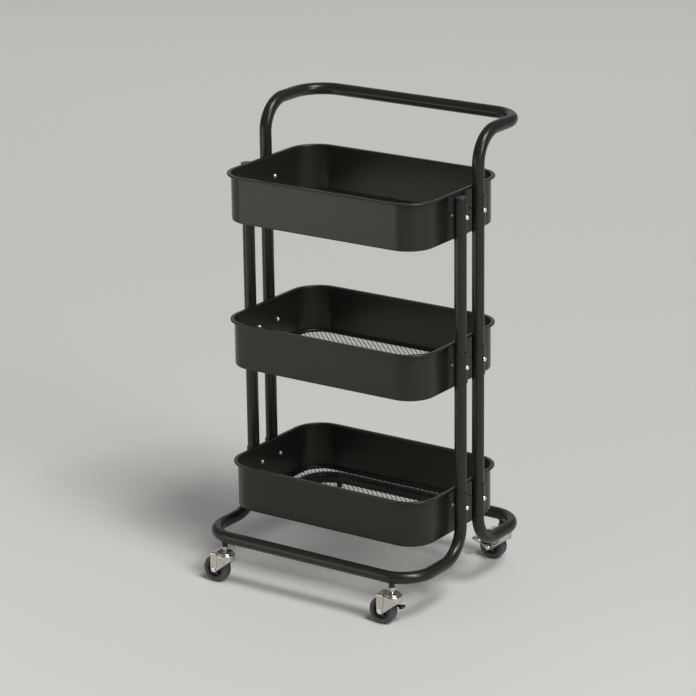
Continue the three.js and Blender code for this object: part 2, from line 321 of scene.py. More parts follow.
def prism(outline: Array, low: float, high: float, edge: float) -> Skin:
    """Plate of an outline with its two rims rounded over.

    The rings sit at heights low + e(1 - cos a) and high - e(1 - cos a), drawn in
    along the outline's own normals by e(1 - sin a), for a from 0 to 90 degrees.

    Args:
        outline: Array of shape (n, 2), anticlockwise and bulging about its middle.
        low: Height of the lower face.
        high: Height of the upper face.
        edge: Radius e of the rim.

    Returns:
        The skin.
    """
    along = np.roll(outline, -1, axis=0) - np.roll(outline, 1, axis=0)
    length = np.maximum(np.linalg.norm(along, axis=1, keepdims=True), TINY)
    normal = np.stack([along[:, 1], -along[:, 0]], axis=1) / length
    a = np.linspace(0.0, QUARTER, 4)
    inset = np.concatenate([edge * (1 - np.sin(a)), edge * (1 - np.sin(a[::-1]))])
    lift = edge * (1 - np.cos(a))
    height = np.concatenate([low + lift, high - lift[::-1]])
    flat = outline[None] - inset[:, None, None] * normal[None]
    return lofted(raised(flat, height[:, None]))


@dataclass(frozen=True)
class Route:
    """Centre line of a bent tube.

    Args:
        points: Array of shape (n, 3).
        tangents: Unit directions of travel, the same shape.
    """

    points: Array
    tangents: Array

    @staticmethod
    def through(parts: list[tuple[Array, Array]]) -> "Route":
        """One route from runs of points and directions laid end to end."""
        points, tangents = zip(*parts)
        return Route(np.concatenate(points), np.concatenate(tangents))

    @staticmethod
    def bend(
        centre: list[float], start: Array, end: Array, radius: float
    ) -> tuple[Array, Array]:
        """Quarter turn: centre + radius (start cos a + end sin a).

        Args:
            centre: Middle of the bend.
            start: Unit direction from the middle to where the bend begins.
            end: Unit direction from the middle to where it ends.
            radius: Radius of the centre line.

        Returns:
            Points and unit tangents along the bend.
        """
        a = np.linspace(0.0, QUARTER, 17)[:, None]
        points = np.array(centre) + radius * (np.cos(a) * start + np.sin(a) * end)
        return points, np.cos(a) * end - np.sin(a) * start

    def tube(self, radius: float, sides: int = 40) -> Skin:
        """Round tube along the route, with a small bevel at each flat end.

        The ring at each point is centre + r (n cos a + b sin a), with n across the
        tangent and a fixed diagonal, and b across the tangent and n.

        Args:
            radius: Outer radius.
            sides: Points round the tube.

        Returns:
            The skin.
        """
        diagonal = np.ones(3) / math.sqrt(3.0)
        across = np.cross(self.tangents, diagonal)
        across /= np.linalg.norm(across, axis=1, keepdims=True)
        other = np.cross(self.tangents, across)
        a = np.arange(sides) * (TURN / sides)
        spokes = (
            across[:, None] * np.cos(a)[None, :, None]
            + other[:, None] * np.sin(a)[None, :, None]
        )
        bevel = 0.5 * MM
        centres = self.points.copy()
        centres[[0, -1]] += self.tangents[[0, -1]] * np.array([[bevel], [-bevel]])
        rings = centres[:, None] + radius * spokes
        ends = self.points[[0, -1], None] + (radius - bevel) * spokes[[0, -1]]
        return lofted(np.concatenate([ends[:1], rings, ends[1:]]))


# ---- Materials --------------------------------------------------------------

Number = Union["Signal", float]


class Signal:
    """A number that varies over a surface, so that maths on it reads as maths."""

    def __init__(self, recipe: "Recipe", socket: bpy.types.NodeSocket) -> None:
        """Wraps an output socket of the recipe's tree."""
        self.recipe = recipe
        self.socket = socket

    def _maths(self, operation: str, left: Number, right: Number) -> "Signal":
        """Result of one Math node on two values."""
        made = self.recipe.node(
            "ShaderNodeMath", {"operation": operation}, {0: left, 1: right}
        )
        return Signal(self.recipe, made.outputs[0])

    def __add__(self, other: Number) -> "Signal":
        """self + other."""
        return self._maths("ADD", self, other)

    __radd__ = __add__

    def __sub__(self, other: Number) -> "Signal":
        """self - other."""
        return self._maths("SUBTRACT", self, other)

    def __rsub__(self, other: Number) -> "Signal":
        """other - self."""
        return self._maths("SUBTRACT", other, self)

    def __mul__(self, other: Number) -> "Signal":
        """self * other."""
        return self._maths("MULTIPLY", self, other)

    __rmul__ = __mul__

    def above(self, low: float, high: float) -> "Signal":
        """0 below low and 1 above high, with a smooth step between them."""
        made = self.recipe.node(
            "ShaderNodeMapRange",
            {"interpolation_type": "SMOOTHSTEP", "clamp": True},
            {"Value": self, "From Min": low, "From Max": high},
        )
        return Signal(self.recipe, made.outputs["Result"])


class Recipe:
    """The node tree of one finish."""

    def __init__(self, name: str) -> None:
        """Starts an empty material with a shader and an output."""
        self.material = bpy.data.materials.new(name)
        self.material.use_nodes = True
        self.tree = self.material.node_tree
        self.tree.nodes.clear()
        self.shader = self.node("ShaderNodeBsdfPrincipled")
        surface = {"Surface": self.shader.outputs["BSDF"]}
        self.node("ShaderNodeOutputMaterial", inputs=surface)
        place = self.node("ShaderNodeTexCoord")
        self.place = place.outputs["Object"]

    def node(
        self,
        kind: str,
        settings: dict | None = None,
        inputs: dict | None = None,
    ) -> bpy.types.Node:
        """Adds a node.

        Args:
            kind: Blender's name for the node.
            settings: Properties of the node, set before its sockets.
            inputs: Value, signal or socket for each input, by name or place.

        Returns:
            The node.
        """
        made = self.tree.nodes.new(kind)
        for key, value in (settings or {}).items():
            setattr(made, key, value)
        for key, value in (inputs or {}).items():
            self.feed(made.inputs[key], value)
        return made

    def feed(self, socket: bpy.types.NodeSocket, value: object) -> None:
        """Links a signal or socket to an input, or sets its value.

        Args:
            socket: The input.
            value: Signal, socket or plain value.
        """
        if isinstance(value, Signal):
            value = value.socket
        if isinstance(value, bpy.types.NodeSocket):
            self.tree.links.new(value, socket)
        else:
            socket.default_value = value

    def noise(
        self, size: float, detail: float = 2.0, stretch: Triple = (1, 1, 1)
    ) -> Signal:
        """Smooth noise from 0 to 1, fixed to the piece.

        Args:
            size: Width of its patches in metres.
            detail: Number of finer layers.
            stretch: How much longer the patches are along X, Y and Z.

        Returns:
            The noise as a signal.
        """
        scale = tuple(1.0 / s for s in stretch)
        mapped = self.node(
            "ShaderNodeMapping", inputs={"Vector": self.place, "Scale": scale}
        )
        made = self.node(
            "ShaderNodeTexNoise",
            inputs={
                "Vector": mapped.outputs["Vector"],
                "Scale": 1.0 / size,
                "Detail": detail,
                "Roughness": LAYER_SHARE,
            },
        )
        return Signal(self, made.outputs["Fac"])

    def mixed(
        self, factor: Number, first: Colour, second: Colour
    ) -> bpy.types.NodeSocket:
        """Colour from first to second as factor goes from 0 to 1.

        Args:
            factor: The share of the second colour.
            first: Colour at 0.
            second: Colour at 1.

        Returns:
            The colour socket.
        """
        made = self.node(
            "ShaderNodeMix",
            {"data_type": "RGBA", "clamp_factor": True},
            {"Factor": factor},
        )
        colours = [s for s in made.inputs if s.type == "RGBA"]
        self.feed(colours[0], (*first, 1.0))
        self.feed(colours[1], (*second, 1.0))
        return next(s for s in made.outputs if s.type == "RGBA")

    def bumped(self, height: Signal, depth: float, strength: float = 1.0) -> None:
        """Feeds a height signal to the shader's normal.

        Args:
            height: Height from 0 to 1.
            depth: Metres that a height of 1 stands for.
            strength: Share of the bump that is used.
        """
        bump = self.node(
            "ShaderNodeBump",
            inputs={"Height": height, "Distance": depth, "Strength": strength},
        )
        self.feed(self.shader.inputs["Normal"], bump.outputs["Normal"])

    def set(self, **values: object) -> None:
        """Sets or links the shader's inputs, with spaces written as underscores."""
        for key, value in values.items():
            self.feed(self.shader.inputs[key.replace("_", " ")], value)


@dataclass(frozen=True)
class PowderCoat:
    """Satin black powder coat: cured powder leaves fine orange peel and slow waves.

    Args:
        name: Name of the material.
        colour: Colour of the coat.
        bloom: Paler colour where the coat is thin or dusty.
        roughness: Middle roughness of the coat.
        spread: How far the roughness wanders.
        peel: Depth of the orange peel.
        gloss: Specular level, where 0.5 is ordinary paint.
        sheen: Tint of the reflection.
    """

    name: str = "powder_coat_black"
    colour: Colour = (0.0090, 0.0090, 0.0076)
    bloom: Colour = (0.016, 0.0158, 0.0128)
    roughness: float = 0.29
    spread: float = 0.08
    peel: float = 0.02 * MM
    gloss: float = 0.36
    sheen: Colour = (1.0, 0.99, 0.895)

    def material(self) -> bpy.types.Material:
        """Builds the material."""
        recipe = Recipe(self.name)
        slow = recipe.noise(45 * MM, detail=3.0)
        fine = recipe.noise(1.6 * MM, detail=2.0)
        speck = recipe.noise(0.7 * MM, detail=1.0).above(0.66, 0.78)
        recipe.set(
            Base_Color=recipe.mixed(slow * 0.8 + speck * 0.25, self.colour, self.bloom),
            Roughness=(slow - 0.5) * self.spread + speck * 0.08 + self.roughness,
            Specular_IOR_Level=self.gloss,
            Specular_Tint=(*self.sheen, 1.0),
        )
        wave = recipe.noise(9 * MM, detail=1.0)
        recipe.bumped(fine * 0.7 + wave * 0.6, self.peel)
        return recipe.material


@dataclass(frozen=True)
class ZincPlate:
    """Bright zinc plate: pale warm metal with faint cloudy patches and fine drawing.

    Args:
        name: Name of the material.
        colour: Colour of clean plate.
        dull: Colour of the cloudy patches.
        roughness: Roughness of clean plate.
        haze: Roughness added where it is cloudy.
    """

    name: str = "zinc_plate"
    colour: Colour = (0.66, 0.62, 0.565)
    dull: Colour = (0.50, 0.465, 0.42)
    roughness: float = 0.13
    haze: float = 0.07

    def material(self) -> bpy.types.Material:
        """Builds the material."""
        recipe = Recipe(self.name)
        cloud = recipe.noise(7 * MM, detail=3.0).above(0.35, 0.75)
        drawn = recipe.noise(0.5 * MM, detail=1.0, stretch=(1, 1, 14))
        recipe.set(
            Base_Color=recipe.mixed(cloud, self.colour, self.dull),
            Metallic=1.0,
            Roughness=cloud * self.haze + drawn * 0.04 + self.roughness,
        )
        recipe.bumped(drawn * 0.5 + cloud * 0.2, 0.006 * MM)
        return recipe.material


@dataclass(frozen=True)
class Moulding:
    """Moulded plastic or rubber with a fine grain and a dusting of grey.

    Args:
        name: Name of the material.
        colour: Colour of the moulding.
        dust: Colour where it is scuffed.
        roughness: Middle roughness.
        grain: Size of the surface grain.
        depth: Depth of the grain.
        scuffs: Noise value above which it is scuffed.
    """

    name: str
    colour: Colour
    dust: Colour
    roughness: float
    grain: float = 0.6 * MM
    depth: float = 0.03 * MM
    scuffs: float = 0.55

    def material(self) -> bpy.types.Material:
        """Builds the material."""
        recipe = Recipe(self.name)
        scuff = recipe.noise(5 * MM, detail=4.0).above(self.scuffs, self.scuffs + 0.2)
        grain = recipe.noise(self.grain, detail=2.0)
        recipe.set(
            Base_Color=recipe.mixed(scuff * 0.7 + grain * 0.2, self.colour, self.dust),
            Roughness=scuff * 0.12 + grain * 0.06 + self.roughness,
        )
        recipe.bumped(grain, self.depth)
        return recipe.material


@dataclass(frozen=True)
class Finishes:
    """Every finish on the cart, built once.

    Args:
        coat: Black coat of tubes, walls and sleeves.
        mesh_coat: The same coat, duller, on the mesh floors.
        zinc: Plated casters.
        bolt_zinc: Brighter plate of bolts and axles.
        plastic: Black caps, hubs and levers.
        tread: Grey tread rings.
    """

    coat: bpy.types.Material
    mesh_coat: bpy.types.Material
    zinc: bpy.types.Material
    bolt_zinc: bpy.types.Material
    plastic: bpy.types.Material
    tread: bpy.types.Material

    @staticmethod
    def mixed() -> "Finishes":
        """Builds the materials."""
        bolt_zinc = ZincPlate(
            "zinc_bolts",
            colour=(0.94, 0.925, 0.89),
            dull=(0.88, 0.86, 0.82),
            roughness=0.22,
        )
        plastic = Moulding(
            "moulded_black",
            colour=(0.012, 0.012, 0.011),
            dust=(0.030, 0.029, 0.027),
            roughness=0.30,
        )
        tread = Moulding(
            "moulded_tread",
            colour=(0.044, 0.045, 0.049),
            dust=(0.080, 0.079, 0.076),
            roughness=0.58,
            grain=0.9 * MM,
        )
        return Finishes(
            coat=PowderCoat().material(),
            mesh_coat=PowderCoat("powder_coat_mesh", roughness=0.42).material(),
            zinc=ZincPlate().material(),
            bolt_zinc=bolt_zinc.material(),
            plastic=plastic.material(),
            tread=tread.material(),
        )


# ---- Pieces -----------------------------------------------------------------


class Bench:
    """Turns skins into pieces that ride on the frame and stand for its nodes."""

    def __init__(self, record: dict) -> None:
        """Reads which body and material slot each CAD node has."""
        bodies = record["behaviour"]["bodies"]
        self.body = {node: body for body, nodes in bodies.items() for node in nodes}
        self.slot = {row["node"]: row["material_slot"] for row in record["subparts"]}

    def shape(
        self, name: str, skin: Skin, finish: bpy.types.Material, crease: float
    ) -> bpy.types.Object:
        """Makes a smooth-shaded object of a skin.

        Doubles are merged, and a closed shape whose volume comes out negative is
        inside out and is turned round.

        Args:
            name: Name of the object.
            skin: Its shape, in place.
            finish: Its material.
            crease: Degrees between faces above which an edge stays sharp.

        Returns:
            The Blender object.
        """
        mesh = bpy.data.meshes.new(name)
        mesh.from_pydata(skin.points, [], skin.quads)
        work = bmesh.new()
        work.from_mesh(mesh)
        bmesh.ops.remove_doubles(work, verts=work.verts, dist=WELD)
        bmesh.ops.recalc_face_normals(work, faces=work.faces)
        if work.calc_volume(signed=True) < 0.0:
            bmesh.ops.reverse_faces(work, faces=work.faces)
        work.to_mesh(mesh)
        work.free()
        mesh.shade_smooth()
        mesh.set_sharp_from_angle(angle=math.radians(crease))
        mesh.materials.append(finish)
        LOG.info("%s: %d faces", name, len(mesh.polygons))
        return placed(name, mesh)

    def piece(
        self,
        node: str,
        skin: Skin,
        finish: bpy.types.Material,
        crease: float = SHARP,
        wall: float = 0.0,
        inward: float = 0.0,
    ) -> bpy.types.Object:
        """Makes the visible piece that stands for a CAD node.

        Args:
            node: The CAD node.
            skin: Its shape, in place.
            finish: Its material.
            crease: Degrees between faces above which an edge stays sharp.
            wall: Thickness given to an open sheet, or 0 for a closed skin.
            inward: -1 to grow the wall inwards, 0 to both sides.

        Returns:
            The Blender object.
        """
        made = self.shape(f"{node}_shell", skin, finish, crease)
        if wall:
            sheet = made.modifiers.new("wall", "SOLIDIFY")
            sheet.thickness = wall
            sheet.offset = inward
        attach(made, self.body[node])
        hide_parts(node)
        return made

    def extra(
        self, name: str, beside: str, skin: Skin, finish: bpy.types.Material
    ) -> bpy.types.Object:
        """Makes a piece of its own that rides with a CAD node.

        Args:
            name: Name of the piece.
            beside: The CAD node.
            skin: Its shape, in place.
            finish: Its material.

        Returns:
            The Blender object.
        """
        made = self.shape(name, skin, finish, SHARP)
        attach(made, self.body[beside])
        return made


@dataclass
class TubeFrame:
    """The bent tubes: two base frames with their posts, and the push handle.

    Args:
        radius: Outer radius of every tube.
        bend: Centre-line radius where a post turns level.
        corner: Centre-line radius of a level corner.
        bush: Outer radius of the bush under each corner of a base loop.
        collar: Height of the weld bead round a bush.
        bead: How far the weld bead stands out from a bush.
        stub: How far a caster's stem ends below a base loop's centre line.
        seam: Gap left where the handle meets the rear posts.
        button: Height of a post cap above its post.
        post_x: Distance of the posts from the middle along X, from the frame.
        post_y: The same along Y.
        base_z: Height of the base loops' centre line, from the frame.
    """

    radius: float = 11 * MM
    bend: float = 56 * MM
    corner: float = 58 * MM
    bush: float = 5.2 * MM
    collar: float = 2.2 * MM
    bead: float = 1.6 * MM
    stub: float = 4.3 * MM
    seam: float = 0.3 * MM
    button: float = 4 * MM
    post_x: float = field(init=False)
    post_y: float = field(init=False)
    base_z: float = field(init=False)

    def __post_init__(self) -> None:
        """Takes the posts' places and the base loops' height from the frame."""
        self.post_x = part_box("front_frame")[1].x - self.radius
        self.post_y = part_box("rear_frame")[0].y + self.radius
        self.base_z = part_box("caster_stem_front_left")[1].z + self.stub

    def loop(self, end_z: float, bar_z: float, bar_y: float, rise: int) -> Route:
        """Route of a tube that leaves both posts of one row and closes with a bar.

        Args:
            end_z: Height of the tube's two ends, on the posts.
            bar_z: Height of the level part.
            bar_y: Place of the bar across the cart, its sign giving the side.
            rise: +1 where the posts turn upwards into the level, -1 downwards.

        Returns:
            The route.
        """
        depth = math.copysign(1.0, bar_y)
        out = np.array([0.0, depth, 0.0])
        up = np.array([0.0, 0.0, float(rise)])
        right = np.array([1.0, 0.0, 0.0])
        x, y = self.post_x, depth * self.post_y
        turn_y = y + depth * self.bend
        turn_z = bar_z - rise * self.bend
        corner_x = x - self.corner
        corner_y = bar_y - depth * self.corner

        def end(side: int) -> tuple[Array, Array]:
            """The tube's cut end on one post."""
            way = up if side > 0 else -up
            return np.array([[side * x, y, end_z]]), way[None]

        return Route.through(
            [
                end(1),
                Route.bend([x, turn_y, turn_z], -out, up, self.bend),
                Route.bend([corner_x, corner_y, bar_z], right, out, self.corner),
                Route.bend([-corner_x, corner_y, bar_z], out, -right, self.corner),
                Route.bend([-x, turn_y, turn_z], up, -out, self.bend),
                end(-1),
            ]
        )

    def bushes(self, depth: Depth) -> Skin:
        """The two bushes welded under a base loop, with their weld beads.

        Args:
            depth: Front or rear loop.

        Returns:
            The skin, in place.
        """
        seat = self.base_z - self.radius
        low = (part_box(f"{depth.name.lower()}_frame")[0].z - seat) / MM
        bush, bead = self.bush / MM, (self.bush + self.bead) / MM
        rows = [
            (0, low, 0),
            (bush, low, 0.6),
            (bush, -self.collar / MM, 1.0),
            (bead, 0.6, 0.9),
            (bead, 3.0, 0.2),
            (0, 3.0, 0),
        ]
        skin = lathed(rows, seat, sides=40)
        stems = [middle(f"caster_stem_{corner_name(depth, side)}") for side in Side]
        return Skin.joined([skin.moved(stem.x, stem.y) for stem in stems])

    def build(self, bench: Bench, finishes: Finishes) -> None:
        """Makes the two base frames and the handle.

        Args:
            bench: Makes the pieces.
            finishes: Their materials.
        """
        for depth in Depth:
            node = f"{depth.name.lower()}_frame"
            low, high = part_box(node)
            reach = high.y if depth is Depth.REAR else low.y
            bar_y = reach - depth.value * self.radius
            tube = self.loop(high.z, self.base_z, bar_y, -1).tube(self.radius)
            bench.piece(node, Skin.joined([tube, self.bushes(depth)]), finishes.coat)
        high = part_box("handle")[1]
        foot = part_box("rear_frame")[1].z + self.seam
        route = self.loop(foot, high.z - self.radius, high.y - self.radius, 1)
        bench.piece("handle", route.tube(self.radius), finishes.coat)

    def caps(self, bench: Bench, finishes: Finishes) -> None:
        """Makes the plug caps in the two front posts: a shallow button with a lip.

        Args:
            bench: Makes the pieces.
            finishes: Their materials.
        """
        for side in Side:
            node = f"post_cap_{side.name.lower()}"
            low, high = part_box(node)
            seat = high.z - self.button
            foot, top = (low.z - seat) / MM, self.button / MM
            rim = (high.x - low.x) / 2 / MM
            rows = [
                (0, foot, 0),
                (9.2, foot, 0.8),
                (9.2, 0, 0),
                (rim * 0.95, 0, 0.3),
                (rim * 0.95, 1.0, 0.3),
                (rim * 0.88, 1.1, 0.2),
                (rim * 0.88, 1.7, 0.2),
                (rim * 0.97, 1.9, 0.4),
                (rim * 0.97, 3.0, 1.0),
                (rim * 0.70, top, 2.6),
                (0, top, 0),
            ]
            place = middle(node)
            skin = lathed(rows, seat, steps=5).moved(place.x, place.y)
            bench.piece(node, skin, finishes.plastic)


@dataclass
class Basket:
    """One pressed basket: a rounded wall with a hemmed lip, and a mesh floor.

    Args:
        tier: Which basket this is.
        lip: How far the hemmed lip stands out from the wall.
        corner: Radius of the wall's outer face in plan.
        sheet: Thickness of the sheet.
        flange: Width of the inturned flange under the floor.
        steps: Pieces in each corner of the plan.
        cell_x: Long way of a diamond.
        cell_y: Short way of a diamond.
        strand: Width of a mesh strand.
        gauge: Thickness of the mesh.
        drop: How far a strand rolls down at its edge.
        tuck: How far under the flange the outermost diamonds' centres may lie.
        border: Offsets of the solid edge's two rims from the wall.
    """

    tier: Tier
    lip: float = 7.3 * MM
    corner: float = 49.9 * MM
    sheet: float = 0.8 * MM
    flange: float = 12 * MM
    steps: int = 22
    cell_x: float = 10.57 * MM
    cell_y: float = 10.57 * MM
    strand: float = 1.45 * MM
    gauge: float = 0.16 * MM
    drop: float = 0.06 * MM
    tuck: float = 0.6 * MM
    border: tuple[float, float] = (-5.5 * MM, -13.2 * MM)

    @property
    def node(self) -> str:
        """Name of the CAD wall."""
        return f"{self.tier.value}_basket"

    def outline(self, offset: Array) -> Array:
        """The wall's plan, a rounded rectangle moved out by each offset.

        Each corner is centre + (radius + offset) (cos a, sin a) over a quarter turn.

        Args:
            offset: Offsets of shape (n,).

        Returns:
            Array of shape (n, points, 2).
        """
        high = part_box(self.node)[1]
        half = np.array([high.x, high.y]) - self.lip - self.corner
        signs = np.array([[1, 1], [-1, 1], [-1, -1], [1, -1]], float)
        centres = np.repeat(signs * half, self.steps + 1, axis=0)
        quarter = np.linspace(0.0, QUARTER, self.steps + 1)
        a = (np.arange(4)[:, None] * QUARTER + quarter).reshape(-1)
        way = np.stack([np.cos(a), np.sin(a)], axis=1)
        return centres + (self.corner + np.asarray(offset)[:, None, None]) * way

    def section(self) -> Array:
        """Section of the wall as offset and height below the rim, corners rounded."""
        low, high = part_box(self.node)
        deep = (high.z - low.z) / MM
        lip, sheet, flange = self.lip / MM, self.sheet / MM, self.flange / MM
        rows = [
            (-flange, -deep, 0.3),
            (0, -deep, 3.2),
            (0, -4.0, 1.6),
            (lip, -3.9, 1.7),
            (lip, 0, 1.9),
            (0.4, 0, 1.6),
            (-sheet, -1.2, 1.6),
            (-sheet, sheet - deep, 2.4),
            (-flange, sheet - deep, 0.3),
        ]
        table = np.array(rows) * MM
        return softened(table[:, :2], table[:, 2], steps=7)

    def wall(self) -> Skin:
        """The wall as its section carried round the plan."""
        section = self.section()
        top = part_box(self.node)[1].z
        plan = self.outline(section[:, 0])
        return lofted(raised(plan, top + section[:, 1:]), loop=True)

    def inside(self, points: Array, offset: float) -> Array:
        """Which plan points lie inside the wall's plan moved by offset.

        A point is inside when the length of max(|p| - straight, 0) is no more than
        the corner radius, with straight the half length of each straight side.

        Args:
            points: Array of shape (n, 2).
            offset: How far the plan is moved out.

        Returns:
            Array of n booleans.
        """
        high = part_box(self.node)[1]
        half = np.array([high.x, high.y]) - self.lip - self.corner
        past = np.maximum(np.abs(points) - half, 0.0)
        return np.linalg.norm(past, axis=1) <= self.corner + offset

    def lattice(self) -> Skin:
        """Diamond mesh: one ring of four faces round the hole of each diamond.

        Diamond centres lie on a grid and on the same grid moved by half a cell. A
        hole is its diamond shrunk about the centre until the strand is left, and
        its rim sits a little lower, as a pressed strand's does.

        Returns:
            The open sheet.
        """
        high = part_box(self.node)[1]
        cell = np.array([self.cell_x, self.cell_y])
        count = (np.array([high.x, high.y]) / cell).astype(int) + 1
        spans = [np.arange(-n, n + 1) for n in count]
        whole = np.stack(np.meshgrid(*spans), axis=-1).reshape(-1, 2).astype(float)
        centres = np.concatenate([whole, whole + 0.5]) * cell
        centres = centres[self.inside(centres, self.tuck - self.flange)]
        reach = cell / 2
        compass = np.array([[1, 0], [0, 1], [-1, 0], [0, -1]], float) * reach
        side = reach[0] * reach[1] / math.hypot(*reach)
        hole = compass * (1 - self.strand / 2 / side)
        outer = centres[:, None] + compass
        inner = centres[:, None] + hole
        plan = np.concatenate([outer, inner], axis=1)
        points = raised(plan, np.repeat([0.0, -self.drop], 4)).reshape(-1, 3)
        here = np.arange(4)
        after = (here + 1) % 4
        ring = np.stack([here, after, 4 + after, 4 + here], axis=1)
        quads = (ring[None] + 8 * np.arange(len(centres))[:, None, None]).reshape(-1, 4)
        return Skin(points, quads)

    def edge(self) -> Skin:
        """Solid edge of the mesh that is spot welded to the flange."""
        rims = self.outline(np.array(self.border))
        return lofted(raised(rims, 0.0), capped=False)

    def build(self, bench: Bench, finishes: Finishes) -> None:
        """Makes the wall and the mesh floor.

        Args:
            bench: Makes the pieces.
            finishes: Their materials.
        """
        bench.piece(self.node, self.wall(), finishes.coat)
        node = f"{self.tier.value}_floor"
        mesh = Skin.joined([self.lattice(), self.edge()]).moved(z=middle(node).z)
        bench.piece(node, mesh, finishes.mesh_coat, SHARP_MESH, wall=self.gauge)


@dataclass
class Fixing:
    """Half sleeve and bolt that hold one basket to one post.

    Args:
        tier: The basket.
        depth: Front or rear row of posts.
        side: Left or right end.
        inner: Inner radius of the half sleeve.
        outer: Outer radius of the half sleeve.
        wrap: Half angle of the sleeve.
        head: Height of the bolt's head, in millimetres as the next three.
        shank: Radius of the bolt's shank.
        nut: Radius and height of the dome inside the basket.
        cap: Radius and height of the dome between wall and post.
        cap_z: Height of that dome's foot above the bolt's tip, in metres.
    """

    tier: Tier
    depth: Depth
    side: Side
    inner: float = 11.25 * MM
    outer: float = 12.7 * MM
    wrap: float = math.radians(100.0)
    head: float = 3.0
    shank: float = 2.5
    nut: tuple[float, float] = (3.3, 2.6)
    cap: tuple[float, float] = (3.1, 3.4)
    cap_z: float = 4.8 * MM

    @property
    def place(self) -> str:
        """Words that end the names of this fixing's nodes."""
        return f"{self.tier.value}_{corner_name(self.depth, self.side)}"

    @property
    def turn(self) -> float:
        """Angle that turns a shape drawn for the right end to this end."""
        return 0.0 if self.side is Side.RIGHT else math.pi

    def sleeve(self, post_x: float) -> Skin:
        """The half sleeve: its wall's section carried round the post's outer side.

        Args:
            post_x: Distance of the posts from the middle.

        Returns:
            The skin, in place.
        """
        low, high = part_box(f"saddle_{self.place}")
        inner, outer, edge = self.inner, self.outer, 0.45 * MM
        corners = [[inner, low.z], [outer, low.z], [outer, high.z], [inner, high.z]]
        section = softened(corners, edge, steps=3)
        a = np.linspace(-self.wrap, self.wrap, 41)[:, None]
        rings = np.stack(
            [
                section[None, :, 0] * np.cos(a),
                section[None, :, 0] * np.sin(a),
                np.broadcast_to(section[None, :, 1], (len(a), len(section))),
            ],
            axis=-1,
        )
        y = (low.y + high.y) / 2
        return lofted(rings).spun(self.turn).moved(self.side.value * post_x, y)

    def bolt(self) -> Skin:
        """The bolt: domed head, shank, domed nut in the basket.

        The front bolts have a second domed nut outside the wall. A dome is a quarter
        ellipse of radius and height, carried round.

        Returns:
            The skin, in place.
        """
        node = f"bolt_{self.place}"
        low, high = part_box(node)
        tip, end = sorted([abs(low.x), abs(high.x)])
        seat = (end - tip) / MM - self.head
        button = [
            (0, 0, 0),
            (4.5, 0, 0.2),
            (4.5, 1.0, 0.9),
            (3.4, self.head, 2.2),
            (0, self.head, 0),
        ]
        rod = [(0, 1.0, 0), (self.shank, 1.0, 0), (self.shank, seat, 0), (0, seat, 0)]
        rise = np.linspace(0.0, QUARTER, 9)
        wide, tall = self.nut
        dome = np.stack([wide * np.sin(rise), tall - tall * np.cos(rise)], axis=1)
        collar = [[wide + 0.8, tall + 0.1], [wide + 0.8, tall + 1], [0, tall + 1]]
        skins = [
            lathed(button, seat * MM, sides=36, steps=6),
            lathed(rod, sides=24, steps=0),
            turned(np.concatenate([dome, collar]) * MM, 32),
        ]
        if self.depth is Depth.FRONT:
            wide, tall = self.cap
            dome = np.stack([wide * np.cos(rise), tall * np.sin(rise)], axis=1)
            dome = np.concatenate([np.zeros((1, 2)), dome]) * MM
            skins.append(turned(dome, 32).moved(z=self.cap_z))
        place = middle(node)
        bolt = Skin.joined(skins).moved(z=tip).laid(Axis.X)
        return bolt.spun(self.turn).moved(0, place.y, place.z)

    def build(self, bench: Bench, finishes: Finishes, post_x: float) -> None:
        """Makes the sleeve and the bolt.

        Args:
            bench: Makes the pieces.
            finishes: Their materials.
            post_x: Distance of the posts from the middle.
        """
        bench.piece(f"saddle_{self.place}", self.sleeve(post_x), finishes.coat)
        bench.piece(f"bolt_{self.place}", self.bolt(), finishes.bolt_zinc, SHARP_SMALL)


@dataclass(frozen=True)
class LeverForm:
    """Sizes of one kind of foot lever, in millimetres.

    Args:
        eye: Radius of the eye on the axle.
        arm: Half width of the arm.
        pad: Half width of the tread pad.
        reach: Distance from the axle to the pad's end.
        tilt: Degrees it points up at rest.
    """

    eye: float
    arm: float
    pad: float
    reach: float
    tilt: float


LEVER_AHEAD = LeverForm(eye=5.6, arm=2.4, pad=2.4, reach=34.2, tilt=11.0)
LEVER_BEHIND = LeverForm(eye=4.7, arm=1.5, pad=1.8, reach=36.9, tilt=20.0)


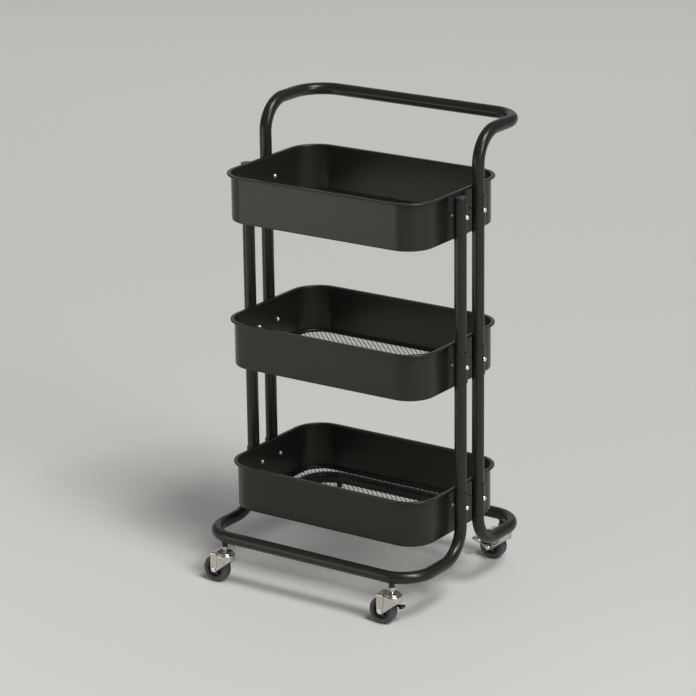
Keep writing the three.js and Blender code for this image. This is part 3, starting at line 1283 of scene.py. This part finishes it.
@dataclass
class Caster:
    """One swivel caster: stem, stamped fork, axle, tyre, hub and perhaps a lever.

    Args:
        depth: Front or rear.
        side: Left or right.
        leg: Distance of a leg's outer face from the middle.
        hood: Radius of the round hood over the swivel.
        boss: Radius of a leg's rounded foot.
        plate: Thickness of the stamped steel.
        fillet: Radius where the hood turns down.
        apron_z: Height of the hood's lower edge.
        apron_x: How far in front of the stem the sloping edge ends.
        leave: Place below the axle where the sloping edge leaves the leg's foot.
        crease_x: Place of the upright crease where leg and hood meet.
        flare: Angle from the front at which the hood's round begins.
        nut_z: Height of the stem nut's lower face.
        nut: Height of that nut.
        rise: Height of the ball race above the hood.
        place: Words that end this caster's names. This and the rest are worked out.
        x: Place of the stem along X.
        y: Place of the stem along Y.
        wheel_r: Radius of the wheel.
        wheel_w: Width of the wheel.
        axle_z: Height of the axle.
        trail: How far the axle stands behind the stem.
        top_z: Height of the hood's top.
    """

    depth: Depth
    side: Side
    leg: float = 13.1 * MM
    hood: float = 18.4 * MM
    boss: float = 6.3 * MM
    plate: float = 1.2 * MM
    fillet: float = 3.2 * MM
    apron_z: float = 43.8 * MM
    apron_x: float = 16 * MM
    leave: tuple[float, float] = (3.9 * MM, -4.9 * MM)
    crease_x: float = -11.9 * MM
    flare: float = math.radians(105.0)
    nut_z: float = 64.5 * MM
    nut: float = 6.2 * MM
    rise: float = 2 * MM
    place: str = field(init=False)
    x: float = field(init=False)
    y: float = field(init=False)
    wheel_r: float = field(init=False)
    wheel_w: float = field(init=False)
    axle_z: float = field(init=False)
    trail: float = field(init=False)
    top_z: float = field(init=False)

    def __post_init__(self) -> None:
        """Takes the stem's, wheel's and hood's places from the frame."""
        self.place = corner_name(self.depth, self.side)
        stem = middle(f"caster_stem_{self.place}")
        low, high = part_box(f"tyre_{self.place}")
        self.x, self.y = stem.x, stem.y
        self.wheel_r = (high.z - low.z) / 2
        self.wheel_w = high.y - low.y
        self.axle_z = (high.z + low.z) / 2
        self.trail = stem.x - (high.x + low.x) / 2
        self.top_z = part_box(f"caster_fork_{self.place}")[1].z - self.rise

    def half_plan(self) -> tuple[Array, Array]:
        """Plan of one side of the fork, from the tail round to the hood's front.

        The leg's foot is a circle about the axle, so its rows are spaced by angle.
        Then come the straight leg, the flare and the hood's arc.

        Returns:
            Plan points of shape (n, 2), and the height of the lower edge at each.
        """
        slope = math.atan2(
            self.apron_z - self.axle_z - self.leave[1],
            self.apron_x + self.trail - self.leave[0],
        )
        a = np.linspace(0.0, slope + QUARTER, 15)
        foot_x = -self.trail - self.boss * np.cos(a)
        foot_z = self.axle_z - self.boss * np.sin(a)
        b = np.linspace(self.flare, 0.0, 40)
        arc = self.hood * np.stack([np.cos(b), np.sin(b)], axis=1)
        leg = np.stack([foot_x, np.full_like(foot_x, self.leg)], axis=1)
        s = np.linspace(0.0, 1.0, 6)[:-1, None]
        flare = (1 - s) * np.array([[self.crease_x, self.leg]]) + s * arc[:1]
        plan = np.concatenate([leg, flare, arc])
        run = foot_z[-1] + (plan[:, 0] - foot_x[-1]) * math.tan(slope)
        edge = np.minimum(run, self.apron_z)
        edge[: len(foot_z)] = foot_z
        return plan, edge

    def fork_sheet(self) -> Skin:
        """The stamped fork as one bent sheet.

        Each row runs up one wall, over the rounded shoulder, across the top and down
        the mirrored wall. On the shoulder a point is the plan moved in along its
        normal by f (1 - cos a), at height top - f + f sin a. The last row, at the
        hood's front, folds onto itself and is welded.

        Returns:
            The open sheet about the stem's foot.
        """
        plan, edge = self.half_plan()
        along = np.gradient(plan, axis=0)
        along[-1] = [0.0, -1.0]
        along /= np.linalg.norm(along, axis=1, keepdims=True)
        normal = np.stack([-along[:, 1], along[:, 0]], axis=1)
        up = np.linspace(0.0, 1.0, 7)[None, :-1]
        shoulder = self.top_z - self.fillet
        wall_z = edge[:, None] + (shoulder - edge[:, None]) * up
        a = np.linspace(0.0, QUARTER, 7)
        turn_z = shoulder + self.fillet * np.sin(a)
        turn_z = np.broadcast_to(turn_z, (len(plan), len(a)))
        inset = np.concatenate([np.zeros(up.size), self.fillet * (1 - np.cos(a))])
        flat = plan[:, None] - inset[None, :, None] * normal[:, None]
        near = raised(flat, np.concatenate([wall_z, turn_z], axis=1))
        far = near[:, ::-1] * np.array([1.0, -1.0, 1.0])
        s = np.linspace(0.0, 1.0, 8)[1:-1][None, :, None]
        across = near[:, -1:] * (1 - s) + far[:, :1] * s
        rows = np.concatenate([near, across, far], axis=1)
        count, columns = rows.shape[:2]
        return Skin(rows.reshape(-1, 3), grid_quads(count, columns, False, False))

    def stem_skin(self) -> Skin:
        """The stem: rivet head, neck, hexagon nut and threaded stub."""
        low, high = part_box(f"caster_stem_{self.place}")
        neck = (self.nut_z - low.z) / MM
        rivet = [
            (0, 0, 0),
            (5.2, 0, 0.8),
            (6.4, 1.2, 0.8),
            (6.4, 3.0, 0.2),
            (4.3, 3.0, 0.2),
            (4.3, neck, 0),
            (0, neck, 0),
        ]
        top = self.nut / MM
        corners = [[0, 0], [6.2, 0], [7.2, 0.8], [7.2, top - 0.8], [6.2, top], [0, top]]
        nut = turned(np.array(corners) * MM, 36, flats=(6, 6.25 * MM))
        end = (high.z - self.nut_z) / MM
        stub = [(0, top, 0), (3.2, top, 0), (3.2, end, 0), (0, end, 0)]
        return Skin.joined(
            [
                lathed(rivet, low.z, sides=36),
                nut.moved(z=self.nut_z),
                lathed(stub, self.nut_z, sides=24, steps=0),
            ]
        )

    def race(self) -> Skin:
        """The swivel's ball race on top of the hood: a dished ring with a step."""
        top = self.rise / MM
        rows = [
            (4.7, -0.4, 0.1),
            (15.4, -0.4, 0.2),
            (15.4, 0.9, 0.5),
            (14.4, top, 0.8),
            (12.2, top, 0.8),
            (10.6, 0.8, 0.6),
            (7.4, 0.8, 0.6),
            (6.2, 1.9, 0.6),
            (4.7, 1.9, 0.3),
        ]
        return lathed(rows, self.top_z, sides=56, loop=True)

    def tyre_skin(self) -> Skin:
        """The tread ring: a slightly crowned face, round shoulders and an inner lip."""
        h, r = self.wheel_w / 2 / MM, self.wheel_r / MM
        side = [
            (16.7, 1.4 - h, 0.4),
            (18.6, 0.3 - h, 0.9),
            (r - 2.6, -h, 1.6),
            (r - 0.3, 2.4 - h, 1.5),
        ]
        rows = mirrored(side)
        rows.insert(len(side), (r, 0, 7.0))
        return lathed(rows, sides=72, steps=5, loop=True)

    def hub_skin(self) -> Skin:
        """The hub: a recessed web between a rim and a middle boss, with five ribs."""
        side = [
            (3.25, -11.3, 0.3),
            (6.0, -11.3, 0.6),
            (6.9, -4.2, 1.0),
            (13.3, -4.2, 1.2),
            (14.4, -8.9, 0.5),
            (16.6, -8.9, 0.4),
        ]
        plan = np.array([[5.5, -0.9], [14.2, -0.9], [14.2, 0.9], [5.5, 0.9]]) * MM
        rib = prism(softened(plan, 0.3 * MM), -7.4 * MM, 7.4 * MM, 0.4 * MM)
        count = 5
        ribs = [rib.spun(angle) for angle in np.arange(count) * TURN / count]
        return Skin.joined([lathed(mirrored(side), sides=60, loop=True), *ribs])

    def axle_skin(self) -> Skin:
        """The axle: a plain rod with a domed rivet head at each end."""
        low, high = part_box(f"axle_{self.place}")
        end = (high.y - low.y) / 2 / MM
        half = [
            (0, -end, 0),
            (2.6, -end, 1.2),
            (4.6, 1.4 - end, 0.8),
            (4.6, 2.0 - end, 0.1),
            (3.0, 2.0 - end, 0),
        ]
        return lathed(mirrored(half), (low.y + high.y) / 2 - self.y, sides=36)

    def lever_skin(self, node: str) -> Skin:
        """The foot lever, drawn pointing along +X and then tilted to its place.

        An eye on the axle tapers into a flat arm, which carries a tread pad
        that turns in over the tyre.

        Args:
            node: The CAD lever, whose box says which way it points.

        Returns:
            The skin about the axle.
        """
        low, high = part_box(node)
        axle_x = self.x - self.trail
        ahead = high.x - axle_x > axle_x - low.x
        form = LEVER_AHEAD if ahead else LEVER_BEHIND
        arm, pad, reach = form.arm, form.pad, form.reach
        half = np.linspace(QUARTER, 3 * QUARTER, 13)
        whole = np.arange(32) * (TURN / 32)
        back, ring = (
            form.eye * np.stack([np.cos(a), np.sin(a)], axis=1)
            for a in (half, whole)
        )
        front = np.array([[14.0, -arm], [31.0, -arm], [31.0, arm], [14.0, arm]])
        tread = np.array([[27.2, -pad], [reach, -pad], [reach, pad], [27.2, pad]])
        tread = softened(tread * MM, 1.4 * MM)
        arm_y, eye_y, pad_y, face = 18.7 * MM, 13.4 * MM, 8.1 * MM, 20.2 * MM
        lever = Skin.joined(
            [
                prism(np.concatenate([back, front]) * MM, arm_y, face, 0.4 * MM),
                prism(ring * MM, eye_y, face, 0.3 * MM),
                prism(tread, pad_y, face - 0.1 * MM, 0.6 * MM),
            ]
        )
        lever = Skin(lever.points[:, [0, 2, 1]], lever.quads)
        lever = lever.spun(-math.radians(form.tilt), Axis.Y)
        return lever.spun(0.0 if ahead else math.pi)

    def build(self, bench: Bench, finishes: Finishes) -> None:
        """Makes every piece of the caster.

        Args:
            bench: Makes the pieces.
            finishes: Their materials.
        """
        fork = self.fork_sheet().moved(self.x, self.y)
        node = f"caster_fork_{self.place}"
        bench.piece(node, fork, finishes.zinc, wall=self.plate, inward=-1.0)
        race = self.race().moved(self.x, self.y)
        bench.extra(f"caster_race_{self.place}", node, race, finishes.zinc)
        stem = self.stem_skin().moved(self.x, self.y)
        bench.piece(f"caster_stem_{self.place}", stem, finishes.zinc, SHARP_SMALL)
        axle_x = self.x - self.trail
        for name, skin, finish in [
            ("tyre", self.tyre_skin(), finishes.tread),
            ("wheel_hub", self.hub_skin(), finishes.plastic),
            ("axle", self.axle_skin(), finishes.bolt_zinc),
        ]:
            centred = skin.laid(Axis.Y).moved(axle_x, self.y, self.axle_z)
            bench.piece(f"{name}_{self.place}", centred, finish)
        node = f"brake_lever_{self.place}"
        if node in frame["nodes"]:
            lever = self.lever_skin(node).moved(axle_x, self.y, self.axle_z)
            zinc = bench.slot[node] == "bright_steel"
            bench.piece(node, lever, finishes.zinc if zinc else finishes.plastic)


# ---- Studio -----------------------------------------------------------------


@dataclass(frozen=True)
class Lamp:
    """A soft rectangular light aimed at the cart.

    Args:
        name: Name of the lamp.
        place: Where it hangs.
        target: The point it faces.
        size: Width and height of its face.
        watts: Its power.
        colour: Its colour.
    """

    name: str
    place: Triple
    target: Triple
    size: tuple[float, float]
    watts: float
    colour: Colour = (1.0, 1.0, 1.0)

    def hang(self) -> None:
        """Adds the lamp to the scene."""
        data = bpy.data.lights.new(self.name, "AREA")
        data.shape = "RECTANGLE"
        data.size, data.size_y = self.size
        data.energy = self.watts
        data.color = self.colour
        lamp = placed(self.name, data)
        lamp.location = self.place
        way = Vector(self.target) - Vector(self.place)
        lamp.rotation_euler = way.to_track_quat("-Z", "Y").to_euler()


@dataclass(frozen=True)
class Studio:
    """Plain pale floor, soft lamps and the camera.

    Args:
        azimuth: Degrees the camera stands round from straight in front.
        elevation: Degrees it looks down.
        roll: Degrees it leans.
        distance: Metres from the camera to its target.
        lens: Focal length in millimetres.
        sensor: Width of the sensor in millimetres.
        far: How far the camera sees.
        target: The point at the middle of the view.
        floor_colour: Colour of the floor.
        floor_reach: How far the floor goes each way.
        room: Colour of the light from all round.
        room_strength: Its strength.
        sun_from: Direction the broad main light comes from.
        sun_strength: Its strength.
        sun_width: Its width in degrees.
        sun_colour: Its colour.
        lamps: The rectangular lights.
    """

    azimuth: float = 34.594
    elevation: float = 17.821
    roll: float = -0.73
    distance: float = 5.4673
    lens: float = 157.78
    sensor: float = 36.0
    far: float = 60.0
    target: Triple = (-0.0214, -0.0148, 0.4287)
    floor_colour: Colour = (0.565, 0.56, 0.54)
    floor_reach: float = 14.0
    room: Colour = (0.93, 0.95, 1.0)
    room_strength: float = 0.20
    sun_from: Triple = (1.5, -0.5, 2.6)
    sun_strength: float = 2.5
    sun_width: float = 22.0
    sun_colour: Colour = (1.0, 0.985, 0.95)
    lamps: tuple[Lamp, ...] = (
        Lamp(
            "window",
            place=(3.0, -0.9, 2.2),
            target=(0, 0, 0.45),
            size=(0.7, 1.6),
            watts=45.0,
            colour=(0.93, 0.97, 1.0),
        ),
        Lamp(
            "panel",
            place=(-0.95, -1.45, 0.46),
            target=(0, -0.1, 0.58),
            size=(1.5, 0.9),
            watts=5.8,
            colour=(1.0, 0.99, 0.93),
        ),
        Lamp(
            "backdrop",
            place=(-2.7, 4.0, 2.35),
            target=(0, 0, 0.8),
            size=(4.4, 2.2),
            watts=10.0,
        ),
    )

    def floor(self) -> None:
        """Lays the floor, a large flat sheet."""
        mesh = bpy.data.meshes.new("studio_floor")
        corners = np.array([[-1.0, -1, 0], [1, -1, 0], [1, 1, 0], [-1, 1, 0]])
        mesh.from_pydata(corners * self.floor_reach, [], [[0, 1, 2, 3]])
        recipe = Recipe("studio_floor")
        recipe.set(Base_Color=(*self.floor_colour, 1.0), Roughness=0.7)
        mesh.materials.append(recipe.material)
        placed("studio_floor", mesh)

    def air(self) -> None:
        """Sets the even light from all round."""
        world = bpy.data.worlds.new("studio_air")
        world.use_nodes = True
        sky = world.node_tree.nodes["Background"]
        sky.inputs["Color"].default_value = (*self.room, 1.0)
        sky.inputs["Strength"].default_value = self.room_strength
        bpy.context.scene.world = world

    def sun(self) -> None:
        """Hangs the broad main light, which is even over the whole floor."""
        data = bpy.data.lights.new("main_light", "SUN")
        data.energy = self.sun_strength
        data.angle = math.radians(self.sun_width)
        data.color = self.sun_colour
        light = placed("main_light", data)
        light.rotation_euler = Vector(self.sun_from).to_track_quat("Z", "Y").to_euler()

    def camera(self) -> None:
        """Sets up the camera from its angles, distance and target."""
        angles = (self.azimuth, self.elevation, self.roll)
        az, el, roll = (math.radians(angle) for angle in angles)
        ahead = Vector(
            (-math.sin(az) * math.cos(el), math.cos(az) * math.cos(el), -math.sin(el))
        )
        right = Vector((math.cos(az), math.sin(az), 0.0))
        up = right.cross(ahead)
        across = right * math.cos(roll) + up * math.sin(roll)
        top = up * math.cos(roll) - right * math.sin(roll)
        place = Vector(self.target) - ahead * self.distance
        data = bpy.data.cameras.new("camera")
        data.lens = self.lens
        data.sensor_width = self.sensor
        data.clip_end = self.far
        camera = placed("camera", data)
        turn = Matrix((across, top, -ahead)).transposed()
        camera.matrix_world = Matrix.Translation(place) @ turn.to_4x4()
        bpy.context.scene.camera = camera

    def build(self) -> None:
        """Lays the floor, lights the room and places the camera."""
        self.floor()
        self.air()
        self.sun()
        for lamp in self.lamps:
            lamp.hang()
        self.camera()
        bpy.context.scene.view_settings.view_transform = "Standard"


def main() -> None:
    """Builds the cart, piece by piece, and then its studio."""
    logging.basicConfig(level=logging.INFO, format="%(name)s: %(message)s")
    bench = Bench(frame["record"])
    finishes = Finishes.mixed()
    tubes = TubeFrame()
    tubes.build(bench, finishes)
    tubes.caps(bench, finishes)
    for tier in Tier:
        Basket(tier).build(bench, finishes)
        for depth in Depth:
            for side in Side:
                Fixing(tier, depth, side).build(bench, finishes, tubes.post_x)
    for depth in Depth:
        for side in Side:
            Caster(depth, side).build(bench, finishes)
    Studio().build()


if __name__ == "__main__":
    main()
